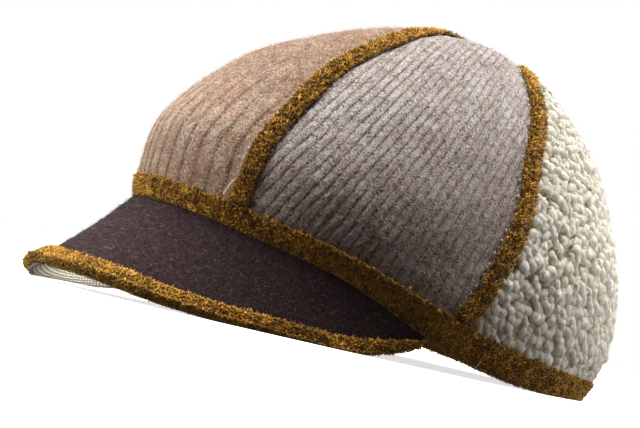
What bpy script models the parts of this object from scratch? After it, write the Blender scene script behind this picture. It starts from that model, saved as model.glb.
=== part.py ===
"""A six-panel patchwork wool cap with a felt peak, resting on its peak and on the back of its hem band.

The cap is shaped in its own frame: the front looks along -Y, the wearer's left is +X, and the rim lies
near the plane z = 0. An empty then tips the cap as it rests on a flat surface. Lengths are in metres.
"""

import bmesh
import bpy
import numpy as np
from mathutils import Matrix, Vector

# Driving dimensions
HALF_WIDTH = 0.084
HALF_LENGTH = 0.102
CROWN_HEIGHT = 0.1065
CROWN_TILT_SLOPE = 0.3
CROWN_TILT_TOWARD_DEG = 61.0
RIM_SIDE_DROP = 0.002
RIM_LEFT_SAG = 0.0085
RIM_LEFT_SAG_AT_DEG = 96.0
RIM_LEFT_SAG_FRONT_DEG = 42.0
RIM_LEFT_SAG_BACK_DEG = 60.0
KNIT_THICKNESS = 0.003
BOUCLE_THICKNESS = 0.006
TAPE_WIDTH = 0.009
TAPE_THICKNESS = 0.0021
TAPE_LIFT = 0.00015
TAPE_EDGE_DROP_SHARE = 0.35
SEAM_SINK = 0.0012
SEAM_SINK_REACH = 0.008
BAND_HEIGHT = 0.0086
BAND_INNER_THICKNESS = 0.0015
BAND_EDGE_DROP_SHARE = 0.2
PEAK_REACH = 0.0485
PEAK_SAG = 0.0012
PEAK_HALF_SPAN_DEG = 82.0
PEAK_ROOT_DROP = 0.0019
PEAK_ROOT_TAB = 0.004
PEAK_FELT_THICKNESS = 0.002
PEAK_LINING_THICKNESS = 0.001
PEAK_LINING_START = 0.005
PEAK_LINING_INSET = 0.0005
PEAK_LINING_SPAN_SHARE = 0.9
PEAK_TRIM_WIDTH = 0.0078
PEAK_TRIM_OVERHANG = 0.0006
PEAK_TRIM_MOST_SHARE = 0.85
PRESS_AT_BAND = 0.0014
PRESS_AT_PEAK = 0.0005
CLEARANCE = 0.0003

# Sections of the crown from the rim to the top, as shares of its height, half width and half length
CROWN_COLUMNS = ("height", "width", "front", "back")
CROWN_SECTIONS = (
    (0.000, 0.990, 0.975, 0.955),
    (0.140, 1.035, 1.025, 0.995),
    (0.300, 1.005, 1.035, 0.980),
    (0.480, 0.920, 0.950, 0.915),
    (0.660, 0.785, 0.800, 0.795),
    (0.820, 0.600, 0.560, 0.665),
    (0.930, 0.410, 0.340, 0.480),
    (0.985, 0.240, 0.130, 0.370),
    (1.000, 0.000, -0.200, 0.200),
)

# Seams of one side: degrees round from the front at the foot and the top, and the swing between them
SEAMS = {
    "front": {"foot": 30.0, "top": 10.0, "bulge": 2.2, "skew": 1.0},
    "side": {"foot": 85.0, "top": 109.0, "bulge": 10.2, "skew": 0.8},
    "back": {"foot": 160.0, "top": 156.0, "bulge": 2.0, "skew": 0.0},
}
SEAM_TOP_POWER = 7.0

# The peak from its centre to one end: reach as a share, slope of the wearer's left and right half, and heading
PEAK_COLUMNS = ("along", "reach", "slope_left", "slope_right", "heading")
PEAK_STATIONS = (
    (0.00, 1.000, 48.5, 48.5, 0.0),
    (0.25, 1.012, 45.2, 53.3, 5.5),
    (0.50, 0.950, 46.3, 55.8, 8.8),
    (0.75, 0.710, 50.0, 55.6, 11.2),
    (0.92, 0.380, 54.5, 62.5, 19.0),
    (1.00, 0.070, 60.0, 70.0, 27.0),
)

# Facets
CROWN_ROW_COUNT = 20
PANEL_COLUMN_COUNT = 9
TAPE_ROW_COUNT = 20
BAND_COLUMN_COUNT = 72
PEAK_COLUMN_COUNT = 37
PEAK_ROW_SHARES = (0.12, 0.30, 0.50, 0.70, 0.85)

# Shares of the way from the rim to the top
RIM_DROP_FADE_SHARE = 0.35
TILT_FROM_SHARE = 0.35
PANEL_TOP_SHARE = 0.985
BOUCLE_THIN_SHARE = 0.08
BOUCLE_FULL_SHARE = 0.20
CROSSING_FROM_SHARE = 0.7
NORMAL_LIMIT_SHARE = 0.995

# Shares of a panel's width where it narrows to its point
NARROW_EDGE_SHARE = 0.1
NARROW_TAPE_SHARE = 0.3

# Steps and rounds of the sums
STEP_DEG = 0.5
STEP_SHARE = 0.004
FINE_STEP_COUNT = 401
MITRE_ROUND_COUNT = 6
SETTLE_ROUND_COUNT = 20
SHARP_ANGLE_DEG = 50.0


def curve_through(stations, values, at, flat_start=(), flat_end=()):
    """Smooth curve through the rows of a table; the columns named flat are level at that end."""
    stations = np.asarray(stations, float)
    values = np.asarray(values, float)
    slopes = np.gradient(values, stations, axis=0)
    slopes[0, list(flat_start)] = 0.0
    slopes[-1, list(flat_end)] = 0.0
    at = np.clip(np.asarray(at, float), stations[0], stations[-1])
    row = np.clip(np.searchsorted(stations, at, side="right") - 1, 0, len(stations) - 2)
    span = (stations[row + 1] - stations[row])[..., None]
    u = (at - stations[row])[..., None] / span
    return (
        (2 * u**3 - 3 * u**2 + 1) * values[row]
        + (u**3 - 2 * u**2 + u) * span * slopes[row]
        + (3 * u**2 - 2 * u**3) * values[row + 1]
        + (u**3 - u**2) * span * slopes[row + 1]
    )


def smooth_step(low, high, value):
    u = np.clip((value - low) / (high - low), 0.0, 1.0)
    return u * u * (3.0 - 2.0 * u)


def unit(vectors):
    return vectors / np.linalg.norm(vectors, axis=-1, keepdims=True)


def left_sag(angle):
    """How far the soft rim hangs down over the wearer's left ear."""
    beyond = np.mod(angle + 180.0, 360.0) - 180.0 - RIM_LEFT_SAG_AT_DEG
    span = np.where(beyond < 0.0, RIM_LEFT_SAG_FRONT_DEG, RIM_LEFT_SAG_BACK_DEG)
    return RIM_LEFT_SAG * (1.0 - smooth_step(0.0, 1.0, np.abs(beyond) / span))


def crown_point(angle, share):
    """Outside of the cloth, at an angle in degrees round from the front and a share of the way to the top."""
    angle, share = np.broadcast_arrays(np.asarray(angle, float), np.asarray(share, float))
    stations = np.linspace(0.0, 1.0, len(CROWN_SECTIONS))
    table = curve_through(stations, CROWN_SECTIONS, share, flat_end=(CROWN_COLUMNS.index("height"),))
    height, width, front, back = np.moveaxis(table, -1, 0)
    turn = np.radians(angle)
    centre = 0.5 * (back - front) * HALF_LENGTH
    half_length = 0.5 * (back + front) * HALF_LENGTH
    side = 0.5 * (1.0 - np.cos(2.0 * turn))
    fade = np.clip(1.0 - share / RIM_DROP_FADE_SHARE, 0.0, 1.0) ** 2
    drop = (RIM_SIDE_DROP * side + left_sag(angle)) * fade
    across = width * HALF_WIDTH * np.sin(turn)
    forward = half_length * np.cos(turn)
    toward = np.radians(CROWN_TILT_TOWARD_DEG)
    tilt = CROWN_TILT_SLOPE * smooth_step(TILT_FROM_SHARE, 1.0, share)
    lift = tilt * (across * np.sin(toward) + forward * np.cos(toward))
    return np.stack((across, centre - forward, height * CROWN_HEIGHT - drop + lift), axis=-1)


def crown_around(angle, share):
    """Metres travelled round the crown for each degree."""
    ahead = crown_point(np.add(angle, STEP_DEG), share)
    behind = crown_point(np.subtract(angle, STEP_DEG), share)
    return np.linalg.norm(ahead - behind, axis=-1) / (2.0 * STEP_DEG)


def crown_normal(angle, share):
    share = np.clip(share, STEP_SHARE, NORMAL_LIMIT_SHARE)
    around = crown_point(np.add(angle, STEP_DEG), share) - crown_point(np.subtract(angle, STEP_DEG), share)
    up = crown_point(angle, share + STEP_SHARE) - crown_point(angle, share - STEP_SHARE)
    return unit(np.cross(around, up))


def share_at_height(height):
    """Share at which the front of the crown has risen by a height."""
    shares = np.linspace(0.0, 0.5, FINE_STEP_COUNT)
    return float(np.interp(height, crown_point(0.0, shares)[:, 2], shares))


def seam_angle(seam, share):
    share = np.asarray(share, float)
    swing = seam["bulge"] * np.sin(np.pi * share) + seam["skew"] * np.sin(2.0 * np.pi * share)
    return seam["foot"] + (seam["top"] - seam["foot"]) * share**SEAM_TOP_POWER + swing


def seam_sink(distance, share):
    """How far the cloth is drawn in beside a seam; the hem band holds it flat lower down."""
    fade = smooth_step(BAND_SHARE, 2.0 * BAND_SHARE, share)
    return SEAM_SINK * fade * np.exp(-((distance / SEAM_SINK_REACH) ** 2))


def boucle_thickness(share):
    """The curly cloth is pressed thin where the hem band holds it."""
    grow = smooth_step(BOUCLE_THIN_SHARE, BOUCLE_FULL_SHARE, share)
    return KNIT_THICKNESS + (BOUCLE_THICKNESS - KNIT_THICKNESS) * grow


def knit_thickness(share):
    return np.full_like(share, KNIT_THICKNESS)


PANEL_FOOT_SHARE = share_at_height(TAPE_THICKNESS + CLEARANCE)
BAND_SHARE = share_at_height(BAND_HEIGHT)
TAPE_FOOT_SHARE = share_at_height(BAND_HEIGHT + CLEARANCE)


def colour(hex_code):
    """Linear colour of an sRGB hex code."""
    values = [int(hex_code[i : i + 2], 16) / 255.0 for i in (0, 2, 4)]
    return [v / 12.92 if v <= 0.04045 else ((v + 0.055) / 1.055) ** 2.4 for v in values] + [1.0]


def cloth(name, hex_code, roughness):
    material = bpy.data.materials.new(name)
    material.use_nodes = True
    shader = material.node_tree.nodes["Principled BSDF"]
    shader.inputs["Base Color"].default_value = colour(hex_code)
    shader.inputs["Roughness"].default_value = roughness
    shader.inputs["Metallic"].default_value = 0.0
    material.diffuse_color = colour(hex_code)
    return material


def block(top, bottom):
    """A closed block between two grids of points: a flat grid is extruded, then laid on the points."""
    rows, columns = top.shape[:2]
    mesh = bmesh.new()
    bmesh.ops.create_grid(mesh, x_segments=columns - 1, y_segments=rows - 1, size=0.5)
    lifted = bmesh.ops.extrude_face_region(mesh, geom=mesh.faces[:])["geom"]
    tops = {item for item in lifted if isinstance(item, bmesh.types.BMVert)}
    for vert in mesh.verts:
        row = round((vert.co.y + 0.5) * (rows - 1))
        column = round((vert.co.x + 0.5) * (columns - 1))
        vert.co = top[row, column] if vert in tops else bottom[row, column]
    bmesh.ops.recalc_face_normals(mesh, faces=mesh.faces[:])
    return mesh


def ring(sections):
    """A closed ring through sections that repeat the first one at the end, each a closed outline."""
    columns, corners = sections.shape[:2]
    mesh = bmesh.new()
    bmesh.ops.create_grid(mesh, x_segments=columns - 1, y_segments=corners - 1, size=0.5)
    for vert in mesh.verts:
        column = round((vert.co.x + 0.5) * (columns - 1)) % (columns - 1)
        corner = round((vert.co.y + 0.5) * (corners - 1)) % (corners - 1)
        vert.co = sections[column, corner]
    bmesh.ops.remove_doubles(mesh, verts=mesh.verts[:], dist=1e-7)
    bmesh.ops.recalc_face_normals(mesh, faces=mesh.faces[:])
    return mesh


def panel(first, second, thickness):
    """A crown panel between two seams, given as functions of the share, with a gap at each seam."""
    rows = np.linspace(PANEL_FOOT_SHARE, PANEL_TOP_SHARE, CROWN_ROW_COUNT)
    start, end = first(rows), second(rows)
    around = crown_around(0.5 * (start + end), rows)
    width = (end - start) * around
    edge = np.minimum(0.5 * CLEARANCE, NARROW_EDGE_SHARE * width)
    under_tape = np.minimum(0.5 * TAPE_WIDTH, NARROW_TAPE_SHARE * width)
    inner = np.linspace(0.0, 1.0, PANEL_COLUMN_COUNT - 1)
    middle = under_tape[:, None] + (width - 2.0 * under_tape)[:, None] * inner
    across = np.concatenate((edge[:, None], middle, (width - edge)[:, None]), axis=1)
    angles = start[:, None] + across / around[:, None]
    shares = np.repeat(rows[:, None], angles.shape[1], axis=1)
    from_seam = np.minimum(across, width[:, None] - across)
    normals = crown_normal(angles, shares)
    outside = crown_point(angles, shares) - normals * seam_sink(from_seam, shares)[..., None]
    return block(outside, outside - normals * thickness(shares)[..., None])


def tape_profile(count=5):
    """Places across a tape, with the height of its domed back as a share of its thickness."""
    across = np.linspace(-0.5, 0.5, count)
    return across, 1.0 - TAPE_EDGE_DROP_SHARE * (2.0 * across) ** 2


def seam_tape(angles, shares, cut=None):
    """A flat tape laid along a seam over the crown; cut trims points to where the tape butts another."""
    centre = crown_point(angles, shares)
    normal = crown_normal(angles, shares)
    along = unit(np.gradient(centre, axis=0))
    side = unit(np.cross(along, normal))
    across, dome = tape_profile()
    offset = across * TAPE_WIDTH
    bend = offset**2 / (2.0 * HALF_LENGTH)
    bed = centre[:, None, :] + side[:, None, :] * offset[:, None]
    for row in (0, -1):
        if shares[row] == TAPE_FOOT_SHARE:
            turn = np.sign(side[row] @ (crown_point(angles[row] + STEP_DEG, shares[row]) - centre[row]))
            foot_angles = angles[row] + turn * offset / crown_around(angles[row], shares[row])
            normal[row] = unit(normal[row] * (1.0, 1.0, 0.0))
            bed[row] = crown_point(foot_angles, shares[row]) + normal[row] * bend[:, None]
    if cut is not None:
        bed = cut(bed, side[:, None, :], along[:, None, :])
    sink = seam_sink(np.abs(offset)[None, :], shares[:, None])
    low = CLEARANCE + TAPE_LIFT - bend[None, :] - sink
    high = low + TAPE_THICKNESS * dome[None, :]
    up = normal[:, None, :]
    return block(bed + up * high[..., None], bed + up * low[..., None])


def crossing_edge(across, toward):
    """Front (-1) or back (1) edge of the tape that crosses the top, at a distance sideways, with its gap."""
    shares = np.linspace(1.0, CROSSING_FROM_SHARE, FINE_STEP_COUNT)
    line = crown_point(seam_angle(SEAMS["side"], shares), shares)
    slant = np.gradient(line[:, 1]) / np.gradient(line[:, 0])
    edge = line[:, 1] + toward * (0.5 * TAPE_WIDTH * np.sqrt(1.0 + slant**2) + CLEARANCE)
    return np.interp(np.abs(across), line[:, 0], edge)


def share_beside_crossing(name, toward):
    """Share at which a seam meets the edge of the tape that crosses the top."""
    shares = np.linspace(CROSSING_FROM_SHARE, 1.0, FINE_STEP_COUNT)
    line = crown_point(seam_angle(SEAMS[name], shares), shares)
    beyond = toward * (line[:, 1] - crossing_edge(line[:, 0], toward))
    return float(np.interp(0.0, -beyond, shares))


def slide(points, direction, axis, keep, limit):
    """Slides the points that are short of a limit on one axis along a direction until they reach it."""
    short = np.maximum(keep * (limit - points[..., axis]), 0.0)
    return points + direction * (keep * short / direction[..., axis])[..., None]


def mitre(side, toward):
    """Trims a tape to its own side of the middle, and to the edge of the tape that crosses the top."""

    def cut(points, across, along):
        for _ in range(MITRE_ROUND_COUNT):
            points = slide(points, along, 1, toward, crossing_edge(points[..., 0], toward))
            points = slide(points, across, 0, side, side * CLEARANCE)
        return points

    return cut


def hem_band():
    """The folded tape round the rim: a U that holds the lower edges of the panels."""
    angles = np.linspace(0.0, 360.0, BAND_COLUMN_COUNT + 1)
    foot = crown_point(angles, 0.0)
    top = crown_point(angles, BAND_SHARE)
    base = crown_point(angles, share_at_height(TAPE_THICKNESS))
    normal = crown_normal(angles, 0.0)
    level = unit(normal * (1.0, 1.0, 0.0))
    level = level / np.sum(level * normal, axis=1, keepdims=True)
    outer = TAPE_THICKNESS + CLEARANCE
    wall = KNIT_THICKNESS + 2.0 * CLEARANCE
    inner = wall + BAND_INNER_THICKNESS
    middle = 0.5 * (foot + top)
    corners = (
        (top, CLEARANCE),
        (top, outer - BAND_EDGE_DROP_SHARE * TAPE_THICKNESS),
        (middle, outer),
        (foot, outer - BAND_EDGE_DROP_SHARE * TAPE_THICKNESS),
        (foot, -CLEARANCE),
        (foot, -inner),
        (top, -inner),
        (top, -wall),
        (base, -wall),
        (base, CLEARANCE),
        (top, CLEARANCE),
    )
    return ring(np.stack([place + level * out for place, out in corners], axis=1))


def peak_lines():
    """Where the peak leaves the band, its outer edge, and the direction out of its upper side."""
    along = np.linspace(-1.0, 1.0, PEAK_COLUMN_COUNT)
    table = np.array(PEAK_STATIONS)
    level = [PEAK_COLUMNS.index(name) - 1 for name in ("reach", "slope_left", "slope_right")]
    values = curve_through(table[:, 0], table[:, 1:], np.abs(along), flat_start=level)
    reach, left, right, heading = values.T
    slope = np.radians(np.where(along > 0.0, left, right))
    heading = np.radians(heading) * np.sign(along)
    direction = np.stack(
        (np.sin(heading) * np.cos(slope), -np.cos(heading) * np.cos(slope), -np.sin(slope)), axis=-1
    )
    angles = along * PEAK_HALF_SPAN_DEG
    rim = crown_point(angles, 0.0)
    level_out = unit(crown_normal(angles, 0.0) * (1.0, 1.0, 0.0))
    down = np.array((0.0, 0.0, 1.0))
    corner = rim + level_out * (TAPE_THICKNESS + CLEARANCE) - down * CLEARANCE
    tab = rim - level_out * (PEAK_ROOT_TAB - TAPE_THICKNESS) - down * CLEARANCE
    edge = rim - down * PEAK_ROOT_DROP + direction * (reach * PEAK_REACH)[:, None]
    out = np.cross(np.gradient(edge, axis=0), corner - edge)
    out[:, 2] = np.maximum(out[:, 2], 0.0)
    return tab, corner, edge, unit(out)


def peak_line(corner, edge, out, share):
    """Points on the upper side of the peak at a share of the way out from the band; it sags a little midway."""
    share = np.broadcast_to(share, corner.shape[:1])[:, None]
    length = np.linalg.norm(edge - corner, axis=1)[:, None]
    sag = PEAK_SAG * 4.0 * share * (1.0 - share) * length / PEAK_REACH
    return corner + (edge - corner) * share - out * sag


def peak_felt():
    tab, corner, edge, out = peak_lines()
    upright = np.array((0.0, 0.0, 1.0))
    bend = unit(out + upright)
    rows = [tab] + [peak_line(corner, edge, out, share) for share in (0.0, *PEAK_ROW_SHARES, 1.0)]
    outs = [np.broadcast_to(upright, out.shape), bend] + [out] * (len(PEAK_ROW_SHARES) + 1)
    top = np.stack(rows)
    return block(top, top - np.stack(outs) * PEAK_FELT_THICKNESS)


def peak_lining():
    along = np.linspace(-1.0, 1.0, PEAK_COLUMN_COUNT)
    corner, edge, out = (line[np.abs(along) < PEAK_LINING_SPAN_SHARE] for line in peak_lines()[1:])
    length = np.linalg.norm(edge - corner, axis=1)
    first = PEAK_LINING_START / length
    last = 1.0 - PEAK_LINING_INSET / length
    shares = [np.clip(share, first, last) for share in (0.0, *PEAK_ROW_SHARES[1:], 1.0)]
    rows = [peak_line(corner, edge, out, share) for share in shares]
    top = np.stack(rows) - out * (PEAK_FELT_THICKNESS + CLEARANCE)
    return block(top, top - out * PEAK_LINING_THICKNESS)


def peak_trim():
    corner, edge, out = peak_lines()[1:]
    length = np.linalg.norm(edge - corner, axis=1)
    width = np.minimum(PEAK_TRIM_WIDTH, PEAK_TRIM_MOST_SHARE * length)
    across, dome = tape_profile()
    rows = []
    for place in across + 0.5:
        share = 1.0 - (width * (1.0 - place) - PEAK_TRIM_OVERHANG * place) / length
        rows.append(peak_line(corner, edge, out, share))
    bed = np.stack(rows) + out * CLEARANCE
    return block(bed + out * (TAPE_THICKNESS * dome)[:, None, None], bed)


def floor_under(band, peak):
    """The surface that the cap settles on: height over it is points @ normal - offset."""
    feet = (
        (band[band[:, 1] > 0.0], PRESS_AT_BAND),
        (peak[peak[:, 0] > 0.0], PRESS_AT_PEAK),
        (peak[peak[:, 0] < 0.0], PRESS_AT_PEAK),
    )
    normal = np.array((0.0, 0.0, 1.0))
    for _ in range(SETTLE_ROUND_COUNT):
        touch = [points[np.argmin(points @ normal)] + normal * press for points, press in feet]
        normal = unit(np.cross(touch[1] - touch[0], touch[2] - touch[0]))
        normal = normal * np.sign(normal[2])
    return normal, float(touch[0] @ normal)


def points_of(meshes):
    return np.array([vert.co[:] for mesh in meshes for vert in mesh.verts])


def press_flat(mesh, normal, offset):
    """Cloth that would reach under the surface is flattened on it."""
    for vert in mesh.verts:
        height = float(np.dot(vert.co, normal)) - offset
        if height < 0.0:
            vert.co -= Vector(normal * height)


def resting_place(meshes, normal, offset):
    """Turns the floor level, and centres the cap over the origin."""
    turn = Vector(normal).rotation_difference(Vector((0.0, 0.0, 1.0))).to_matrix()
    points = points_of(meshes) @ np.array(turn).T
    middle = 0.5 * (points.min(axis=0) + points.max(axis=0))
    return Matrix.Translation((-middle[0], -middle[1], -offset)) @ turn.to_4x4()


def add_piece(name, mesh, material, parent):
    data = bpy.data.meshes.new(name)
    mesh.to_mesh(data)
    mesh.free()
    data.materials.append(material)
    data.shade_smooth()
    data.set_sharp_from_angle(angle=np.radians(SHARP_ANGLE_DEG))
    piece = bpy.data.objects.new(name, data)
    bpy.context.scene.collection.objects.link(piece)
    piece.parent = parent
    return piece


def seam(name, side):
    """A seam of one side, as a function from share to degrees."""
    return lambda share: side * seam_angle(SEAMS[name], share)


def crown_panels(knit_tan, knit_grey, boucle_cream, knit_back):
    turn = 360.0
    return {
        "front_panel": (panel(seam("front", -1), seam("front", 1), knit_thickness), knit_tan),
        "side_panel_left": (panel(seam("front", 1), seam("side", 1), knit_thickness), knit_grey),
        "side_panel_right": (panel(seam("side", -1), seam("front", -1), knit_thickness), knit_grey),
        "rear_panel_left": (panel(seam("side", 1), seam("back", 1), boucle_thickness), boucle_cream),
        "rear_panel_right": (panel(seam("back", -1), seam("side", -1), boucle_thickness), boucle_cream),
        "back_panel": (
            panel(seam("back", 1), lambda share: turn - seam_angle(SEAMS["back"], share), knit_thickness),
            knit_back,
        ),
    }


def seam_tapes(chenille):
    """One tape runs up a side, over the top and down the other side; four others butt against it."""
    up = np.linspace(TAPE_FOOT_SHARE, 1.0, TAPE_ROW_COUNT)
    angles = np.concatenate((seam("side", 1)(up), seam("side", -1)(up[-2::-1])))
    shares = np.concatenate((up, up[-2::-1]))
    tapes = {"seam_tape_over_top": (seam_tape(angles, shares), chenille)}
    for name, toward in (("front", -1), ("back", 1)):
        short = np.linspace(TAPE_FOOT_SHARE, share_beside_crossing(name, toward), TAPE_ROW_COUNT)
        for side_name, side in (("left", 1), ("right", -1)):
            tape = seam_tape(seam(name, side)(short), short, mitre(side, toward))
            tapes[f"seam_tape_{name}_{side_name}"] = (tape, chenille)
    return tapes


def clear_scene():
    for item in list(bpy.data.objects):
        bpy.data.objects.remove(item, do_unlink=True)


clear_scene()
CHENILLE = cloth("chenille_tape", "8f6518", 0.95)
FELT = cloth("wool_felt", "3a2a2c", 0.95)
JERSEY = cloth("jersey_lining", "c9bda6", 0.9)
pieces = crown_panels(
    cloth("felted_rib_tan", "bd9b84", 0.95),
    cloth("felted_rib_grey", "8f837d", 0.95),
    cloth("boucle_cream", "e0d8c6", 0.95),
    cloth("felted_knit_back", "bd9b84", 0.95),
)
pieces.update(seam_tapes(CHENILLE))
pieces["hem_band"] = (hem_band(), CHENILLE)
pieces["peak_felt"] = (peak_felt(), FELT)
pieces["peak_lining"] = (peak_lining(), JERSEY)
pieces["peak_trim"] = (peak_trim(), CHENILLE)

all_meshes = [mesh for mesh, _ in pieces.values()]
peak_meshes = [pieces[name][0] for name in ("peak_felt", "peak_lining", "peak_trim")]
floor_normal, floor_offset = floor_under(points_of([pieces["hem_band"][0]]), points_of(peak_meshes))
for mesh in all_meshes:
    press_flat(mesh, floor_normal, floor_offset)
rest = bpy.data.objects.new("cap_at_rest", None)
bpy.context.scene.collection.objects.link(rest)
rest.matrix_world = resting_place(all_meshes, floor_normal, floor_offset)
for name, (mesh, material) in pieces.items():
    add_piece(name, mesh, material, rest)
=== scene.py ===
"""The patchwork cap at rest: sewn crown panels, chenille tape on the seams, felt peak with its lining."""

import math

import bmesh
import bpy
import numpy as np
from mathutils import Euler, Matrix, Vector
from mathutils.bvhtree import BVHTree
from mathutils.kdtree import KDTree


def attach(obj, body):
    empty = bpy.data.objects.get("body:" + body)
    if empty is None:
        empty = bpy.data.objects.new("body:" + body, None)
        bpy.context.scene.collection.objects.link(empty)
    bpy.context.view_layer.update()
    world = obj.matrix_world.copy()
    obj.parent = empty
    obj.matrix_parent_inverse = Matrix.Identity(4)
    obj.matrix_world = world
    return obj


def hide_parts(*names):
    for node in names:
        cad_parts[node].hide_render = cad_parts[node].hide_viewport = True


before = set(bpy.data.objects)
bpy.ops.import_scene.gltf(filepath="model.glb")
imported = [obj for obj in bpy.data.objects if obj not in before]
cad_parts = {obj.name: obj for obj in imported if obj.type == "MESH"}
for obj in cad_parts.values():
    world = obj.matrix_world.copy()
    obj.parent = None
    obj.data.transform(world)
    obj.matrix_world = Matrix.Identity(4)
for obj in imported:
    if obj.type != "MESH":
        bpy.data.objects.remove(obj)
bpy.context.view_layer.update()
MM = 0.001

# Crown cloth
# The cap is sewn of six panels cut from felted knitwear and from curly wool pile. Each panel is a closed
# piece of cloth, drawn in a little beside its seams. The cap's own frame has the rim level, the peak to -Y.
HALF_WIDTH = 84.0 * MM
HALF_LENGTH = 102.0 * MM
CROWN_HEIGHT = 106.5 * MM
TILT_SLOPE = 0.3
TILT_FROM_SHARE = 0.35
TILT_TOWARD_DEG = 61.0
RIM_SIDE_DROP = 2.0 * MM
RIM_DROP_REACH = 0.35
RIM_LEFT_SAG = 8.5 * MM
RIM_LEFT_SAG_AT_DEG = 96.0
RIM_LEFT_SAG_FRONT_DEG = 42.0
RIM_LEFT_SAG_BACK_DEG = 60.0
TAPE_THICKNESS = 2.1 * MM
SEAM_SINK = 1.2 * MM
SEAM_SINK_REACH = 8.0 * MM
CLEARANCE = 0.3 * MM
BAND_HEIGHT = 8.6 * MM
REST_TURN_DEG = (-11.669, 1.661, -0.17)
REST_PLACE = Vector((-0.354, 16.952, 18.888)) * MM
# Height, half width, front and back half length, as shares
SECTIONS = (
    (0.000, 0.990, 0.975, 0.955),
    (0.140, 1.035, 1.025, 0.995),
    (0.300, 1.005, 1.035, 0.980),
    (0.480, 0.920, 0.950, 0.915),
    (0.660, 0.785, 0.800, 0.795),
    (0.820, 0.600, 0.560, 0.665),
    (0.930, 0.410, 0.340, 0.480),
    (0.985, 0.240, 0.130, 0.370),
    (1.000, 0.000, -0.200, 0.200),
)
SEAMS = {
    "front": {"foot": 30.0, "top": 10.0, "bulge": 2.2, "skew": 1.0},
    "side": {"foot": 85.0, "top": 109.0, "bulge": 10.2, "skew": 0.8},
    "back": {"foot": 160.0, "top": 156.0, "bulge": 2.0, "skew": 0.0},
}
SEAM_TURNS_LATE = 7.0


def curve_through(stations, values, at, flat_start=(), flat_end=()):
    """Smooth curve through the rows of a table; the columns named flat are level at that end."""
    stations = np.asarray(stations, float)
    values = np.asarray(values, float)
    slopes = np.gradient(values, stations, axis=0)
    slopes[0, list(flat_start)] = 0.0
    slopes[-1, list(flat_end)] = 0.0
    at = np.clip(np.asarray(at, float), stations[0], stations[-1])
    row = np.clip(np.searchsorted(stations, at, side="right") - 1, 0, len(stations) - 2)
    span = (stations[row + 1] - stations[row])[..., None]
    u = (at - stations[row])[..., None] / span
    return (
        (2 * u**3 - 3 * u**2 + 1) * values[row]
        + (u**3 - 2 * u**2 + u) * span * slopes[row]
        + (3 * u**2 - 2 * u**3) * values[row + 1]
        + (u**3 - u**2) * span * slopes[row + 1]
    )


def smooth_step(low, high, value):
    u = np.clip((value - low) / (high - low), 0.0, 1.0)
    return u * u * (3.0 - 2.0 * u)


def unit(vectors):
    return vectors / np.maximum(np.linalg.norm(vectors, axis=-1, keepdims=True), 1e-12)


def left_sag(angle):
    """How far the soft rim hangs down over the wearer's left ear."""
    beyond = np.mod(angle + 180.0, 360.0) - 180.0 - RIM_LEFT_SAG_AT_DEG
    span = np.where(beyond < 0.0, RIM_LEFT_SAG_FRONT_DEG, RIM_LEFT_SAG_BACK_DEG)
    return RIM_LEFT_SAG * (1.0 - smooth_step(0.0, 1.0, np.abs(beyond) / span))


def crown_point(angle, share):
    """Outside of the cloth, at degrees round from the front and a share of the way to the top."""
    angle, share = np.broadcast_arrays(np.asarray(angle, float), np.asarray(share, float))
    table = curve_through(np.linspace(0.0, 1.0, len(SECTIONS)), SECTIONS, share, flat_end=(0,))
    height, width, front, back = np.moveaxis(table, -1, 0)
    turn = np.radians(angle)
    side = 0.5 * (1.0 - np.cos(2.0 * turn))
    drop = (RIM_SIDE_DROP * side + left_sag(angle)) * np.clip(1.0 - share / RIM_DROP_REACH, 0.0, 1.0) ** 2
    across = width * HALF_WIDTH * np.sin(turn)
    forward = 0.5 * (back + front) * HALF_LENGTH * np.cos(turn)
    toward = np.radians(TILT_TOWARD_DEG)
    tilt = TILT_SLOPE * smooth_step(TILT_FROM_SHARE, 1.0, share)
    lift = tilt * (across * np.sin(toward) + forward * np.cos(toward))
    centre = 0.5 * (back - front) * HALF_LENGTH
    return np.stack((across, centre - forward, height * CROWN_HEIGHT - drop + lift), axis=-1)


def crown_around(angle, share):
    """Metres travelled round the crown for each degree."""
    return np.linalg.norm(crown_point(angle + 0.5, share) - crown_point(angle - 0.5, share), axis=-1)


def crown_normal(angle, share):
    share = np.clip(share, 0.004, 0.995)
    around = crown_point(angle + 0.5, share) - crown_point(angle - 0.5, share)
    up = crown_point(angle, share + 0.004) - crown_point(angle, share - 0.004)
    return unit(np.cross(around, up))


def share_at_height(height):
    shares = np.linspace(0.0, 0.5, 401)
    return float(np.interp(height, crown_point(0.0, shares)[:, 2], shares))


BAND_SHARE = share_at_height(BAND_HEIGHT)
PANEL_FOOT_SHARE = share_at_height(TAPE_THICKNESS + CLEARANCE)
PANEL_TOP_SHARE = 0.985


def seam_angle(name, share):
    seam = SEAMS[name]
    swing = seam["bulge"] * np.sin(np.pi * share) + seam["skew"] * np.sin(2.0 * np.pi * share)
    return seam["foot"] + (seam["top"] - seam["foot"]) * share**SEAM_TURNS_LATE + swing


def seam_sink(distance, share):
    """How far the cloth is drawn in beside a seam."""
    fade = smooth_step(BAND_SHARE, 2.0 * BAND_SHARE, share)
    return SEAM_SINK * fade * np.exp(-((distance / SEAM_SINK_REACH) ** 2))


def at_rest(points):
    """Points of the cap's own frame where the cap rests on the floor, flattened where they go under it."""
    turn = np.array(Euler([math.radians(a) for a in REST_TURN_DEG]).to_matrix())
    placed = points @ turn.T + np.array(REST_PLACE)
    placed[..., 2] = np.maximum(placed[..., 2], 0.0)
    return placed


# Felted rib knit
# Carded wool yarn knitted in ribs, then washed until the fibres mat. It gives a mottled, fuzzy face with
# thin grooves broken up by the stitches, and a pale haze where it turns away. The grooves' dark colour
# and the paler tone toward each rib's crest are painted shade.
KNIT_THICKNESS = 3.0 * MM
RIB_DEPTH = 0.3 * MM
NAP = 0.25 * MM
# How far up the cap, in metres and leaning back, a painted shade band across the knit changes its colour
SHADE_BAND_HEIGHTS = (0.03, 0.05, 0.072, 0.1)


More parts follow.
